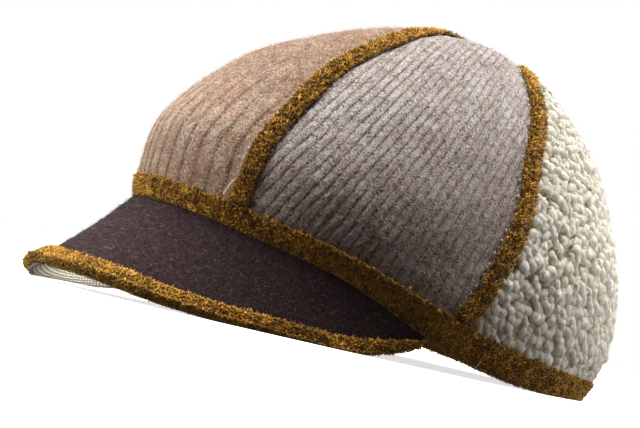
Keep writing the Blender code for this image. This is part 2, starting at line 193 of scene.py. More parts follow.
def grain(points, size, seed):
    """Smooth noise from -1 to 1 whose lumps are about one size across."""
    lattice = np.random.default_rng(seed).uniform(-1.0, 1.0, (32, 32, 32))
    place = np.asarray(points, float) / size
    cell = np.floor(place).astype(int)
    u = place - cell
    u = u * u * (3.0 - 2.0 * u)
    total = np.zeros(place.shape[:-1])
    for corner in np.ndindex(2, 2, 2):
        index = (cell + corner) % 32
        weight = np.prod(np.where(np.array(corner) == 1, u, 1.0 - u), axis=-1)
        total += weight * lattice[index[..., 0], index[..., 1], index[..., 2]]
    return total


def new_object(name, data):
    made = bpy.data.objects.new(name, data)
    bpy.context.scene.collection.objects.link(made)
    return made


def add_piece(name, mesh, fields):
    """A finished piece at the origin, from a bmesh, with one number at each point for each named field."""
    data = bpy.data.meshes.new(name)
    mesh.to_mesh(data)
    mesh.free()
    return add_data(name, data, fields)


def add_data(name, data, fields):
    """The same, from a mesh that is ready."""
    for field, values in fields.items():
        stored = data.attributes.new(field, "FLOAT", "POINT").data
        stored.foreach_set("value", np.asarray(values, np.float32).ravel())
    data.shade_smooth()
    piece = new_object(name, data)
    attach(piece, "root")
    return piece


def cloth_shell(name, outer, inner, fields):
    """A closed piece of cloth: a fine grid outside and a coarse one inside, joined round their edges."""
    mesh = bmesh.new()
    order = []
    for points in (outer, inner):
        rows, columns = points.shape[:2]
        grid = bmesh.ops.create_grid(mesh, x_segments=columns - 1, y_segments=rows - 1, size=0.5)
        for vert in grid["verts"]:
            row = round((vert.co.y + 0.5) * (rows - 1))
            column = round((vert.co.x + 0.5) * (columns - 1))
            order.append(row * columns + column)
            vert.co = points[row, column]
    rim = [edge for edge in mesh.edges if edge.is_boundary]
    bmesh.ops.bridge_loops(mesh, edges=rim)
    bmesh.ops.recalc_face_normals(mesh, faces=mesh.faces[:])
    outside = outer.shape[0] * outer.shape[1]
    laid = {}
    for field, values in fields.items():
        inside = np.full(inner.shape[0] * inner.shape[1], np.mean(values))
        laid[field] = np.concatenate((np.asarray(values).ravel()[order[:outside]], inside))
    return add_piece(name, mesh, laid)


def panel_places(panel, rows, columns):
    """Angles and shares over a panel between two seams, with the distance from each seam."""
    first, second = PANELS[panel]
    shares = np.linspace(PANEL_FOOT_SHARE, PANEL_TOP_SHARE, rows)
    start, end = first(shares), second(shares)
    around = crown_around(0.5 * (start + end), shares)
    width = (end - start) * around
    edge = np.minimum(0.5 * CLEARANCE, 0.1 * width)
    across = edge[:, None] + (width - 2.0 * edge)[:, None] * np.linspace(0.0, 1.0, columns)
    angles = start[:, None] + across / around[:, None]
    return angles, np.repeat(shares[:, None], columns, axis=1), across, width[:, None] - across


def seam(name, side):
    """A seam as its angle at each share of the height; side is 1 on the left and -1 on the right."""
    return lambda share: side * seam_angle(name, share)


def around_back(share):
    return 360.0 - seam_angle("back", share)


# The two seams of each panel, taken the same way round
PANELS = {
    "front": (seam("front", -1), seam("front", 1)),
    "side_left": (seam("front", 1), seam("side", 1)),
    "side_right": (seam("side", -1), seam("front", -1)),
    "rear_left": (seam("side", 1), seam("back", 1)),
    "rear_right": (seam("back", -1), seam("side", -1)),
    "back": (seam("back", 1), around_back),
}


def linear(code):
    """Linear colour of an sRGB hex code."""
    values = [int(code[i : i + 2], 16) / 255.0 for i in (0, 2, 4)]
    return [v / 12.92 if v <= 0.04045 else ((v + 0.055) / 1.055) ** 2.4 for v in values] + [1.0]


def connect(tree, node, inputs):
    """Sets inputs by name or in order: each is a value, a node, or a node and the output to link from."""
    for key, value in inputs.items() if isinstance(inputs, dict) else enumerate(inputs):
        source = value if isinstance(value, tuple) else (value, 0)
        if isinstance(source[0], bpy.types.Node):
            tree.links.new(source[0].outputs[source[1]], node.inputs[key])
        else:
            node.inputs[key].default_value = value


def add(tree, kind, inputs=(), stops=(), **settings):
    """A node with its settings and inputs; a colour ramp also has stops, as (place, hex code)."""
    node = tree.nodes.new("ShaderNode" + kind)
    for key, value in settings.items():
        setattr(node, key, value)
    connect(tree, node, inputs)
    for index, (place, code) in enumerate(stops):
        if index == len(node.color_ramp.elements):
            node.color_ramp.elements.new(1.0)
        node.color_ramp.elements[index].position = place
        node.color_ramp.elements[index].color = linear(code)
    return node


def new_material(name, finish):
    """A material, its tree, its shader with the values that are the same all over, and the place on it."""
    material = bpy.data.materials.new(name)
    material.use_nodes = True
    tree = material.node_tree
    shader = tree.nodes["Principled BSDF"]
    connect(tree, shader, finish)
    return material, tree, shader, (add(tree, "TexCoord"), "Object")


def felted_knit(name, tones, groove_shade, tint, sheen, shade_band):
    """Ribs from the panel's own counts of turns and courses, blurred by matted fibres 1 mm across."""
    finish = {"Roughness": 0.95, "Specular IOR Level": 0.1, "Sheen Weight": 0.35, "Sheen Roughness": 0.4}
    material, tree, shader, place = new_material(name, finish)
    turns, course, worn = (
        (add(tree, "Attribute", attribute_name=field), "Fac") for field in ("turns", "course", "worn")
    )
    # The scale of each noise is its number of lumps to a millimetre
    fibre = add(
        tree,
        "TexNoise",
        {"Vector": place, "Scale": 1.05 / MM, "Detail": 3.0, "Roughness": 0.7, "Distortion": 1.2},
    )
    matted = add(tree, "MapRange", [fibre, 0.3, 0.7])
    cloud = add(tree, "TexNoise", {"Vector": place, "Scale": 0.23 / MM, "Detail": 3.0})
    astray = add(tree, "Math", [matted, 0.16, turns], operation="MULTIPLY_ADD")
    from_groove = add(tree, "Math", [astray, 0.5], operation="PINGPONG")
    leaning = add(tree, "Math", [from_groove, 1.1, course], operation="MULTIPLY_ADD")
    shifted = add(tree, "Math", [cloud, 1.6, leaning], operation="MULTIPLY_ADD")
    stitch = add(tree, "Math", [shifted, 0.5], operation="PINGPONG")
    # Painted shade: the grooves are mixed toward the dark groove colour, and the tone grows paler toward
    # each rib's crest
    cut = add(tree, "MapRange", [from_groove, 0.0, 0.125, 0.75, 0.0])
    broken = add(tree, "MapRange", [stitch, 0.05, 0.4, 1.0, 0.55])
    deep = add(tree, "Math", [cut, broken], operation="MULTIPLY")
    shown = add(tree, "Math", [deep, worn], operation="MULTIPLY")
    crest = add(tree, "Math", [from_groove, worn], operation="MULTIPLY")
    rounded = add(tree, "Math", [crest, 0.35, matted], operation="MULTIPLY_ADD")
    loops = add(tree, "Math", [stitch, worn], operation="MULTIPLY")
    looped = add(tree, "Math", [loops, 0.25, rounded], operation="MULTIPLY_ADD")
    lit = add(tree, "Math", [cloud, 0.55, looped], operation="MULTIPLY_ADD")
    level = add(tree, "MapRange", [lit, 0.5, 1.25])
    tone = add(tree, "ValToRGB", [level], tones)
    stain = add(tree, "TexNoise", {"Vector": place, "Scale": 0.11 / MM, "Detail": 3.0})
    stained = add(tree, "MapRange", [stain, 0.42, 0.68, 0.0, 0.45])
    # A colour mix has its share at 0 and its two colours at 6 and 7, and gives its colour at 2
    tinted = {0: stained, 6: tone, 7: linear(tint)}
    warm = add(tree, "Mix", tinted, data_type="RGBA", blend_type="MULTIPLY")
    # Painted shade: a band across the cloth, low and leaning back, multiplies its colour darker
    part = add(tree, "SeparateXYZ", [place])
    slant = add(tree, "Math", [(part, "Y"), -0.3, (part, "Z")], operation="MULTIPLY_ADD")
    stretch = add(tree, "ValToRGB", [slant], tuple(zip(SHADE_BAND_HEIGHTS, shade_band)))
    mixed = {0: 1.0, 6: (warm, 2), 7: stretch}
    band_shaded = add(tree, "Mix", mixed, data_type="RGBA", blend_type="MULTIPLY")
    shade = add(tree, "Mix", {0: shown, 6: (band_shaded, 2), 7: linear(groove_shade)}, data_type="RGBA")
    height = add(tree, "Math", [shown, -0.6, looped], operation="MULTIPLY_ADD")
    bump = add(tree, "Bump", {"Height": height, "Strength": 0.85, "Distance": 0.6 * MM})
    connect(tree, shader, {"Base Color": (shade, 2), "Normal": bump, "Sheen Tint": linear(sheen)})
    return material


def knit_panel(node, name, panel, rows, columns, lay):
    """A knitted panel in place of its plain CAD solid; lay gives its turns of rib, courses and wear."""
    angles, shares, near, far = panel_places(panel, rows, columns)
    normals = crown_normal(angles, shares)
    plain = crown_point(angles, shares) - normals * seam_sink(np.minimum(near, far), shares)[..., None]
    turns, course, worn = lay(plain)
    deep = (0.5 + 0.5 * np.cos(2.0 * np.pi * turns)) ** 4.0 * worn
    lumps = 0.2 * MM * grain(plain, 1.5 * MM, 3) + 0.35 * MM * grain(plain, 9.0 * MM, 5)
    outer = plain + normals * (NAP + lumps - RIB_DEPTH * deep)[..., None]
    angles, shares, near, far = panel_places(panel, 28, 18)
    inner = crown_point(angles, shares) - crown_normal(angles, shares) * KNIT_THICKNESS
    fields = {"turns": turns, "course": course, "worn": worn}
    piece = cloth_shell(name, at_rest(outer), at_rest(inner), fields)
    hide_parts(node)
    return piece


KNIT_GREY = felted_knit(
    "felted_rib_grey",
    tones=((0.0, "62564d"), (0.5, "cdc1b9"), (1.0, "f8f3ef")),
    groove_shade="281f1b",
    tint="e4d0c4",
    sheen="ece4e0",
    shade_band=("e4dedb", "bcb4b0", "d8d2ce", "ffffff"),
)
KNIT_TAN = felted_knit(
    "felted_rib_tan",
    tones=((0.0, "7d5f4c"), (0.5, "c0a087"), (1.0, "ecd8c5")),
    groove_shade="4a3326",
    tint="e6b898",
    sheen="f0e0d2",
    shade_band=("ffffff", "ffffff", "ffffff", "ffffff"),
)

# Grey side panels
# Cut from a felted rib jumper, with a band of painted shade across its lower part. The ribs lean back from
# the front seam and are cut across by the side seam. They fan a little from a line far above the cap, given
# in the cap's own frame.
RIB_FAN_PLACE = np.array((47.6, 39.3, 303.6)) * MM
RIB_FAN_OUT = np.array((0.470, 0.784, 0.406))
RIB_FAN_UP = np.array((-0.139, -0.389, 0.911))
RIB_FAN_STEP_DEG = 0.78
COURSE_HEIGHT = 1.25 * MM


def side_lay(side):
    """Turns of rib, courses and wear over a side panel; side is 1 on the left and -1 on the right."""

    def lay(points):
        points = points * (side, 1.0, 1.0)
        from_line = points - RIB_FAN_PLACE
        out, down = from_line @ RIB_FAN_OUT, -(from_line @ RIB_FAN_UP)
        wobble = 0.16 * grain(points, 14.0 * MM, 8) + 0.08 * grain(points, 4.0 * MM, 7)
        turns = np.degrees(np.arctan2(out, down)) / RIB_FAN_STEP_DEG + wobble
        brushed = smooth_step(80.0 * MM, 110.0 * MM, points[..., 2])
        worn = 0.75 + 0.3 * grain(points, 7.0 * MM, 9) - 0.25 * brushed
        return turns, np.hypot(out, down) / COURSE_HEIGHT, np.clip(worn, 0.0, 1.0)

    return lay


def wear(piece, material):
    """Gives a piece its material."""
    piece.data.materials.append(material)


for node, name, panel, rows, columns, side in (
    ("side_panel_left", "grey_panel_left", "side_left", 150, 210, 1.0),
    ("side_panel_right", "grey_panel_right", "side_right", 110, 150, -1.0),
):
    piece = knit_panel(node, name, panel, rows, columns, side_lay(side))
    wear(piece, KNIT_GREY)

# Tan front panel
# Cut from a coarser felted rib with its ribs upright, and brushed smooth toward the top. It is sewn between
# the two front seams, over the forehead.
FRONT_RIBS_FROM = 0.35 * HALF_LENGTH
FRONT_RIB_STEP_DEG = 3.3
FRONT_COURSE_HEIGHT = 1.6 * MM


def front_lay(points):
    turn = np.degrees(np.arctan2(points[..., 0], FRONT_RIBS_FROM - points[..., 1]))
    wobble = 0.1 * grain(points, 12.0 * MM, 18) + 0.05 * grain(points, 4.0 * MM, 17)
    brushed = smooth_step(32.0 * MM, 72.0 * MM, points[..., 2] + 6.0 * MM * grain(points, 15.0 * MM, 12))
    worn = (1.0 - brushed) * (0.85 + 0.35 * grain(points, 7.0 * MM, 19))
    return turn / FRONT_RIB_STEP_DEG + wobble, points[..., 2] / FRONT_COURSE_HEIGHT, np.clip(worn, 0.0, 1.0)


front_panel = knit_panel("front_panel", "tan_panel", "front", 150, 180, front_lay)
wear(front_panel, KNIT_TAN)

# Back panel
# The plain panel at the back of the head, cut from the same tan knit as the front one and brushed as it is,
# and sewn between the two curly panels.


def back_lay(points):
    return front_lay(points * (1.0, -1.0, 1.0))


back_panel = knit_panel("back_panel", "tan_back_panel", "back", 110, 80, back_lay)
wear(back_panel, KNIT_TAN)

# Curly rear panels
# Wool pile cloth with its loops matted into soft curls of four to seven millimetres, packed side by side on
# a knitted ground.
CURL_SPACING = 2.75 * MM
CURL_LENGTH_MM = (4.0, 7.5)
CURL_THICKNESS_MM = (2.0, 2.75)
CURL_BEND_MM = 1.5
CURL_RISE_MM = (0.2, 0.8)
CURL_BELOW_MM = (-2.1, -1.45)
CURL_FROM_SEAM = 5.4 * MM
CURL_TRIES = 60000
# Shares of the height over which the ground goes down to make room for the curls
GROUND_SINKS_OVER = (0.08, 0.2)
GROUND_SINK = 1.0 * MM
GROUND_THICKNESS = 3.0 * MM
# Thickness along a curl, from one end to the other
CURL_OUTLINE = np.array((0.5, 0.88, 1.0, 1.04, 1.0, 0.88, 0.5))


def copies(name, template, count):
    """One mesh of many copies of a template, all in one place until their points are laid."""
    data = bpy.data.meshes.new(name)
    template.to_mesh(data)
    template.free()
    single = new_object(name, data)
    repeat = single.modifiers.new("copies", "ARRAY")
    repeat.count = count
    repeat.relative_offset_displace = (0.0, 0.0, 0.0)
    made = bpy.data.meshes.new_from_object(single.evaluated_get(bpy.context.evaluated_depsgraph_get()))
    bpy.data.objects.remove(single)
    return made


def strand_template(sides, rings, tip):
    """A closed strand from z = 0 to z = 1, blunt or pointed, in as many rings as its path has points."""
    mesh = bmesh.new()
    upright = Matrix.Translation((0.0, 0.0, 0.5))
    bmesh.ops.create_cone(
        mesh, cap_ends=True, segments=sides, radius1=1.0, radius2=tip, depth=1.0, matrix=upright
    )
    bmesh.ops.remove_doubles(mesh, verts=mesh.verts[:], dist=1e-6)
    edges = [edge for edge in mesh.edges if abs(edge.verts[0].co.z - edge.verts[1].co.z) > 0.5]
    if rings > 2:
        bmesh.ops.subdivide_edges(mesh, edges=edges, cuts=rings - 2)
    return mesh


def strands(name, path, radius, sides, fields, tip=1.0):
    """Strands along paths (count, rings, 3), with radii (count, rings), as one mesh; tip 0 is pointed."""
    count, rings = radius.shape
    template = strand_template(sides, rings, tip)
    shape = np.array([vert.co[:] for vert in template.verts])
    ring = np.rint(shape[:, 2] * (rings - 1)).astype(int)
    data = copies(name, template, count)
    along = unit(np.gradient(path, axis=1))
    start = unit(np.cross(along[:, 0], (0.31, 0.52, 0.79)))[:, None, :]
    side = unit(start - along * np.sum(start * along, axis=-1, keepdims=True))
    other = np.cross(along, side)
    points = path[:, ring] + radius[:, ring, None] * (
        side[:, ring] * shape[None, :, 0, None] + other[:, ring] * shape[None, :, 1, None]
    )
    points[..., 2] = np.maximum(points[..., 2], 0.0)
    data.vertices.foreach_set("co", points.astype(np.float32).ravel())
    data.update()
    laid = {}
    for field, values in fields.items():
        laid[field] = values(points) if callable(values) else values[:, ring]
    return add_data(name, data, laid)


def spread(points, spacing, rng):
    """The numbers of points that keep a spacing from each other, taken in random order."""
    order = rng.permutation(len(points))
    tree = KDTree(len(points))
    for index, point in enumerate(points):
        tree.insert(point, index)
    tree.balance()
    taken = np.zeros(len(points), bool)
    blocked = np.zeros(len(points), bool)
    for index in order:
        if blocked[index]:
            continue
        taken[index] = True
        for _, other, _ in tree.find_range(points[index], spacing):
            blocked[other] = True
    return np.flatnonzero(taken)


def panel_scatter(panel, count, rng):
    """Random angles and shares over a panel, even by area, from this many tries."""
    first, second = PANELS[panel]
    shares = PANEL_FOOT_SHARE + (PANEL_TOP_SHARE - PANEL_FOOT_SHARE) * rng.uniform(0.0, 1.0, count)
    start, end = first(shares), second(shares)
    angles = start + (end - start) * rng.uniform(0.0, 1.0, count)
    step = crown_point(angles, shares + 0.002) - crown_point(angles, shares - 0.002)
    area = (end - start) * crown_around(angles, shares) * np.linalg.norm(step, axis=-1)
    keep = rng.uniform(0.0, 1.0, count) < area / area.max()
    return angles[keep], shares[keep]


def curly_panel(node, name, panel, seed):
    """The knitted ground in place of its plain CAD solid, and the curls that lie on it."""
    rng = np.random.default_rng(seed)
    angles, shares, near, far = panel_places(panel, 60, 60)
    sink = seam_sink(np.minimum(near, far), shares) + GROUND_SINK * smooth_step(*GROUND_SINKS_OVER, shares)
    outer = crown_point(angles, shares) - crown_normal(angles, shares) * sink[..., None]
    # The ground lies all down between the curls, so it gets the deepest painted shade
    low = {"depth": np.zeros(angles.shape)}
    angles, shares, near, far = panel_places(panel, 24, 16)
    deep = GROUND_THICKNESS * (1.0 + smooth_step(*GROUND_SINKS_OVER, shares))
    inner = crown_point(angles, shares) - crown_normal(angles, shares) * deep[..., None]
    ground = cloth_shell(name + "_ground", at_rest(outer), at_rest(inner), low)
    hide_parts(node)

    angles, shares = panel_scatter(panel, CURL_TRIES, rng)
    start, end = (line(shares) for line in PANELS[panel])
    around = crown_around(0.5 * (start + end), shares)
    from_seam = np.minimum(angles - start, end - angles) * around
    keep = (shares > BAND_SHARE) & (from_seam > CURL_FROM_SEAM)
    angles, shares = angles[keep], shares[keep]
    base = crown_point(angles, shares)
    taken = spread(base, CURL_SPACING, rng)
    angles, shares, base = angles[taken], shares[taken], base[taken]
    count = len(base)
    normals = crown_normal(angles, shares)
    spin = rng.normal(0.0, 0.9, count) + 2.2 * grain(base, 16.0 * MM, seed)
    level = unit(np.cross(normals, (0.2, 0.1, 1.0)))
    other = np.cross(normals, level)
    lay = level * np.cos(spin)[:, None] + other * np.sin(spin)[:, None]
    side = np.cross(normals, lay)
    t = np.linspace(-0.5, 0.5, len(CURL_OUTLINE))[None, :, None]
    length = (rng.uniform(*CURL_LENGTH_MM, count) * MM)[:, None, None]
    curve = (rng.normal(0.0, CURL_BEND_MM, count) * MM)[:, None, None]
    rise = (rng.uniform(*CURL_RISE_MM, count) * MM)[:, None, None]
    below = (rng.uniform(*CURL_BELOW_MM, count) * MM)[:, None, None]
    path = (
        base[:, None, :]
        + lay[:, None, :] * length * t
        + side[:, None, :] * curve * (1.0 - 4.0 * t * t)
        + normals[:, None, :] * (below + rise * (1.0 - 4.0 * t * t))
    )
    path = path + rng.normal(0.0, 0.14 * MM, path.shape)
    thickness = (rng.uniform(*CURL_THICKNESS_MM, count) * MM)[:, None]
    radius = thickness * CURL_OUTLINE
    radius = radius * (1.0 + 0.08 * rng.normal(0.0, 1.0, radius.shape))
    foot = at_rest(base)
    up = unit(at_rest(base + normals * MM) - foot)

    def depth(points):
        """0 down between the curls, 1 on top of them."""
        height = np.sum((points - foot[:, None, :]) * up[:, None, :], axis=-1)
        return smooth_step(-0.9 * MM, 0.9 * MM, height)

    return ground, strands(name, at_rest(path), radius, 8, {"depth": depth})


def curly_wool():
    """Undyed wool pile: warm white curls with a fibrous face, and painted shade, darker and yellower, down
    between them.
    """
    finish = {"Roughness": 1.0, "Specular IOR Level": 0.0, "Sheen Weight": 0.35, "Sheen Roughness": 0.6}
    material, tree, shader, place = new_material("boucle_cream", finish)
    fibre = add(
        tree,
        "TexNoise",
        {"Vector": place, "Scale": 1.3 / MM, "Detail": 5.0, "Roughness": 0.75, "Distortion": 2.0},
    )
    # The depth field paints shade, darker and yellower, down between the curls
    depth = (add(tree, "Attribute", attribute_name="depth"), "Fac")
    mixed = add(tree, "Math", [fibre, 0.9, depth], operation="MULTIPLY_ADD")
    tone = add(tree, "ValToRGB", [mixed], ((0.35, "bfa774"), (0.75, "eadfc2"), (1.0, "fbf5e6")))
    bump = add(tree, "Bump", {"Height": fibre, "Strength": 0.9, "Distance": 1.0 * MM})
    connect(tree, shader, {"Base Color": tone, "Normal": bump, "Sheen Tint": linear("fff4e0")})
    return material


CURLY_WOOL = curly_wool()
for node, name, panel, seed in (
    ("rear_panel_left", "curls_left", "rear_left", 21),
    ("rear_panel_right", "curls_right", "rear_right", 22),
):
    ground, curls = curly_panel(node, name, panel, seed)
    for piece in (ground, curls):
        wear(piece, CURLY_WOOL)

# Chenille tape
# A woven tape with a short pile of mustard and dark brown wool, folded over each seam and the rim. A tape
# keeps the body of its CAD solid, drawn in for the pile, with a few more tufts where it goes under the rim.
TAPE_WIDTH = 9.0 * MM
# Tufts to a square millimetre
TUFT_COVER = 2.5
TUFT_LENGTH = 1.55 * MM
TUFT_RADIUS_MM = (0.42, 0.68)
TUFT_ROOT = 0.45 * MM
TUFT_CLUMP = 1.7 * MM
# Share of a tuft's tone at its root and its tip; the darker root is painted shade down in the pile
TUFT_TONES = np.array((0.35, 1.1))
FOOT_TUFTS = 70
PILE_ROOM = 0.7 * MM
HIDDEN_WITHIN = 6.0 * MM
CAP_MIDDLE = Vector((0.0, 20.0, 30.0)) * MM


def solid_tree():
    """All CAD solids as one tree of faces, to tell which faces of a tape are covered by another piece."""
    corners, faces = [], []
    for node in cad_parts.values():
        first = len(corners)
        corners += [vert.co[:] for vert in node.data.vertices]
        faces += [[first + index for index in polygon.vertices] for polygon in node.data.polygons]
    return BVHTree.FromPolygons(corners, faces)


SOLIDS = solid_tree()


def outward(centre):
    """Roughly which way is out of the cap at a place on it."""
    return (centre - CAP_MIDDLE).normalized()


def shown_outside(centre, normal):
    """Whether a face looks out of the cap with nothing close in front of it."""
    inward = outward(centre).dot(normal) < -0.45
    on_floor = centre.z < 0.3 * MM and normal.z < -0.5
    if inward or on_floor:
        return False
    return SOLIDS.ray_cast(centre + normal * 1.2 * PILE_ROOM, normal, HIDDEN_WITHIN)[0] is None


def tufts(name, path, tone, varied, rng):
    """Short pointed tufts along their paths, each of one tone, with painted shade darkening its root."""
    count = len(path)
    radius = np.repeat((rng.uniform(*TUFT_RADIUS_MM, count) * MM)[:, None], 2, axis=1)
    tone = np.clip(tone + varied * rng.normal(0.0, 1.0, count), 0.0, 1.0)
    return strands(name, path, radius, 3, {"tone": tone[:, None] * TUFT_TONES}, tip=0.0)


def pile_on(name, body, seed):
    """Tufts over the faces of a body that show."""
    rng = np.random.default_rng(seed)
    bmesh.ops.triangulate(body, faces=body.faces[:])
    body.normal_update()
    shown = [face for face in body.faces if shown_outside(face.calc_center_median(), face.normal)]
    corners = np.array([[vert.co[:] for vert in face.verts] for face in shown])
    normals = np.array([face.normal[:] for face in shown])
    upper = np.array([outward(face.calc_center_median()).dot(face.normal) for face in shown])
    areas = np.array([face.calc_area() for face in shown])
    count = int(areas.sum() / (MM * MM) * TUFT_COVER)
    pick = rng.choice(len(areas), size=count, p=areas / areas.sum())
    u, v = np.sqrt(rng.uniform(0, 1, count)), rng.uniform(0, 1, count)
    base = (
        corners[pick, 0] * (1 - u)[:, None]
        + corners[pick, 1] * (u * (1 - v))[:, None]
        + corners[pick, 2] * (u * v)[:, None]
    )
    clump = np.stack([grain(base, TUFT_CLUMP, seed + step) for step in (2, 3, 4)], axis=-1)
    up = unit(0.8 * normals[pick] + 0.8 * unit(rng.normal(0.0, 1.0, (count, 3))) + 1.4 * clump)
    # Shorter tufts on the tape's edges than on its face
    size = rng.uniform(0.5, 1.3, count) * np.where(upper[pick] > 0.6, 1.0, 0.7)
    length = (TUFT_LENGTH * size)[:, None]
    path = np.stack((base - up * TUFT_ROOT, base + up * length), axis=1)
    return tufts(name, path, 0.55 + 0.4 * grain(base, 2.0 * MM, seed + 1), 0.26, rng)


def draw_in(body):
    """Draws the body in by the room that its pile takes, so that both together have the tape's size."""
    body.normal_update()
    moves = [vert.normal.copy() for vert in body.verts]
    for vert, move in zip(body.verts, moves):
        if vert.co.z < 0.05 * MM:
            move.z = 0.0
        vert.co -= move * PILE_ROOM


def chenille(node, name, seed):
    """The tape's own body, in place of its plain CAD solid, and the pile on it."""
    body = bmesh.new()
    body.from_mesh(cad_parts[node].data)
    bmesh.ops.remove_doubles(body, verts=body.verts[:], dist=1e-6)
    draw_in(body)
    pile = pile_on(name, body, seed)
    # The ground under the pile is painted about as dark as the tufts' roots: painted shade
    ground = add_piece(name + "_ground", body, {"tone": np.full(len(body.verts), 0.3)})
    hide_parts(node)
    return pile, ground


def foot_pile(name, seam_name, side, seed):
    """Tufts over the foot of a tape, where it is sewn in under the rim."""
    rng = np.random.default_rng(seed)
    shares = rng.uniform(0.85, 1.35, FOOT_TUFTS) * BAND_SHARE
    across = rng.uniform(-0.5, 0.5, FOOT_TUFTS) * TAPE_WIDTH
    angles = side * seam_angle(seam_name, shares)
    angles = angles + across / crown_around(angles, shares)
    normals = crown_normal(angles, shares)
    base = crown_point(angles, shares) - normals * seam_sink(np.abs(across), shares)[:, None]
    up = unit(normals + 0.8 * unit(rng.normal(0.0, 1.0, (FOOT_TUFTS, 3))))
    length = (TUFT_LENGTH * rng.uniform(0.6, 1.2, FOOT_TUFTS))[:, None]
    path = at_rest(np.stack((base, base + up * length), axis=1))
    return tufts(name, path, 0.5, 0.25, rng)


def chenille_material():
    """Wool pile dyed mustard and dark brown: each nub one tone, with painted shade dark down at its root.
    """
    finish = {"Roughness": 0.85, "Specular IOR Level": 0.2, "Sheen Weight": 0.25}
    material, tree, shader, place = new_material("chenille_tape", finish)
    fleck = add(tree, "TexNoise", {"Vector": place, "Scale": 1.3 / MM, "Detail": 3.0})
    patch = add(tree, "TexNoise", {"Vector": place, "Scale": 0.09 / MM, "Detail": 2.0})
    tone = (add(tree, "Attribute", attribute_name="tone"), "Fac")
    flecked = add(tree, "Math", [fleck, 0.8, tone], operation="MULTIPLY_ADD")
    patched = add(tree, "Math", [patch, 0.6, flecked], operation="MULTIPLY_ADD")
    level = add(tree, "MapRange", [patched, 0.5, 1.9])
    dyes = ((0.1, "3a2611"), (0.32, "795318"), (0.54, "ba8427"), (0.78, "d9a945"), (1.0, "f0cf7e"))
    colour = add(tree, "ValToRGB", [level], dyes)
    bump = add(tree, "Bump", {"Height": fleck, "Strength": 0.5, "Distance": 0.4 * MM})
    connect(tree, shader, {"Base Color": colour, "Normal": bump, "Sheen Tint": linear("f0d28a")})
    return material


CHENILLE = chenille_material()
for node, name, seed in (
    ("seam_tape_over_top", "chenille_over_top", 31),
    ("seam_tape_front_left", "chenille_front_left", 33),
    ("seam_tape_front_right", "chenille_front_right", 35),
    ("seam_tape_back_left", "chenille_back_left", 37),
    ("seam_tape_back_right", "chenille_back_right", 39),
    ("hem_band", "chenille_rim", 41),
    ("peak_trim", "chenille_peak_edge", 43),
):
    for piece in chenille(node, name, seed):
        wear(piece, CHENILLE)
for seam_name, first_seed in (("front", 90), ("side", 100), ("back", 110)):
    for hand, side in (("left", 1), ("right", -1)):
        piece = foot_pile(f"chenille_foot_{seam_name}_{hand}", seam_name, side, first_seed + side)
        wear(piece, CHENILLE)

# Felt peak
# Two millimetres of pressed wool felt in dark aubergine brown, with loose fibres lying on it. It is cut as
# a crescent, sewn in under the rim's tape and bent down at both sides.
PEAK_REACH = 48.5 * MM
PEAK_SAG = 1.2 * MM
PEAK_HALF_SPAN_DEG = 82.0
PEAK_ROOT_DROP = 1.9 * MM
# Along from the middle, reach as a share, slope of the left and right half, and heading, in degrees
PEAK_STATIONS = (
    (0.00, 1.000, 48.5, 48.5, 0.0),
    (0.25, 1.012, 45.2, 53.3, 5.5),
    (0.50, 0.950, 46.3, 55.8, 8.8),
    (0.75, 0.710, 50.0, 55.6, 11.2),
    (0.92, 0.380, 54.5, 62.5, 19.0),
    (1.00, 0.070, 60.0, 70.0, 27.0),
)
FELT_THICKNESS = 2.0 * MM
FELT_EDGE_IN = 0.2 * MM


def peak_lines():
    """Along the peak: where it leaves the band, its outer edge, and the direction out of its upper side."""
    along = np.linspace(-1.0, 1.0, 241)
    table = np.array(PEAK_STATIONS)
    values = curve_through(table[:, 0], table[:, 1:], np.abs(along), flat_start=(0, 1, 2))
    reach, left, right, heading = values.T
    slope = np.radians(np.where(along > 0.0, left, right))
    heading = np.radians(heading) * np.sign(along)
    direction = np.stack(
        (np.sin(heading) * np.cos(slope), -np.cos(heading) * np.cos(slope), -np.sin(slope)), axis=-1
    )
    rim = crown_point(along * PEAK_HALF_SPAN_DEG, 0.0)
    level_out = unit(crown_normal(along * PEAK_HALF_SPAN_DEG, 0.0) * (1.0, 1.0, 0.0))
    upright = np.array((0.0, 0.0, 1.0))
    corner = rim + level_out * (TAPE_THICKNESS + CLEARANCE) - upright * CLEARANCE
    edge = rim - upright * PEAK_ROOT_DROP + direction * (reach * PEAK_REACH)[:, None]
    out = np.cross(np.gradient(edge, axis=0), corner - edge)
    out[:, 2] = np.maximum(out[:, 2], 0.0)
    return along, corner, edge, unit(out)


PEAK_LINES = peak_lines()


def peak_length(along):
    """How far the peak reaches out from the band."""
    return np.interp(along, PEAK_LINES[0], np.linalg.norm(PEAK_LINES[2] - PEAK_LINES[1], axis=1))


def peak_place(along, inward, drop):
    """A point of the peak: how far in from its outer edge, and how far below its upper side, in metres."""
    corner, edge, out = (
        np.stack([np.interp(along, PEAK_LINES[0], line[:, axis]) for axis in range(3)], axis=-1)
        for line in PEAK_LINES[1:]
    )
    length = np.linalg.norm(edge - corner, axis=-1, keepdims=True)
    share = 1.0 - np.asarray(inward)[..., None] / length
    sag = PEAK_SAG * 4.0 * share * (1.0 - share) * length / PEAK_REACH
    return corner + (edge - corner) * share - unit(out) * (sag + np.asarray(drop)[..., None])


def felt_sheet():
    """The peak's felt from just under the band to its outer edge."""
    grids = []
    for rows, columns, drop in ((241, 46, 0.0), (81, 14, FELT_THICKNESS)):
        along = np.linspace(-1.0, 1.0, rows)[:, None]
        inward = FELT_EDGE_IN + (peak_length(along) - FELT_EDGE_IN) * np.linspace(0.0, 1.0, columns)
        points = peak_place(along, inward, drop)
        if drop == 0.0:
            lumps = 0.12 * MM * grain(points, 5.0 * MM, 51) + 0.05 * MM * grain(points, 1.3 * MM, 52)
            points[..., 2] += lumps
        grids.append(at_rest(points))
    return cloth_shell("felt_peak", *grids, {})


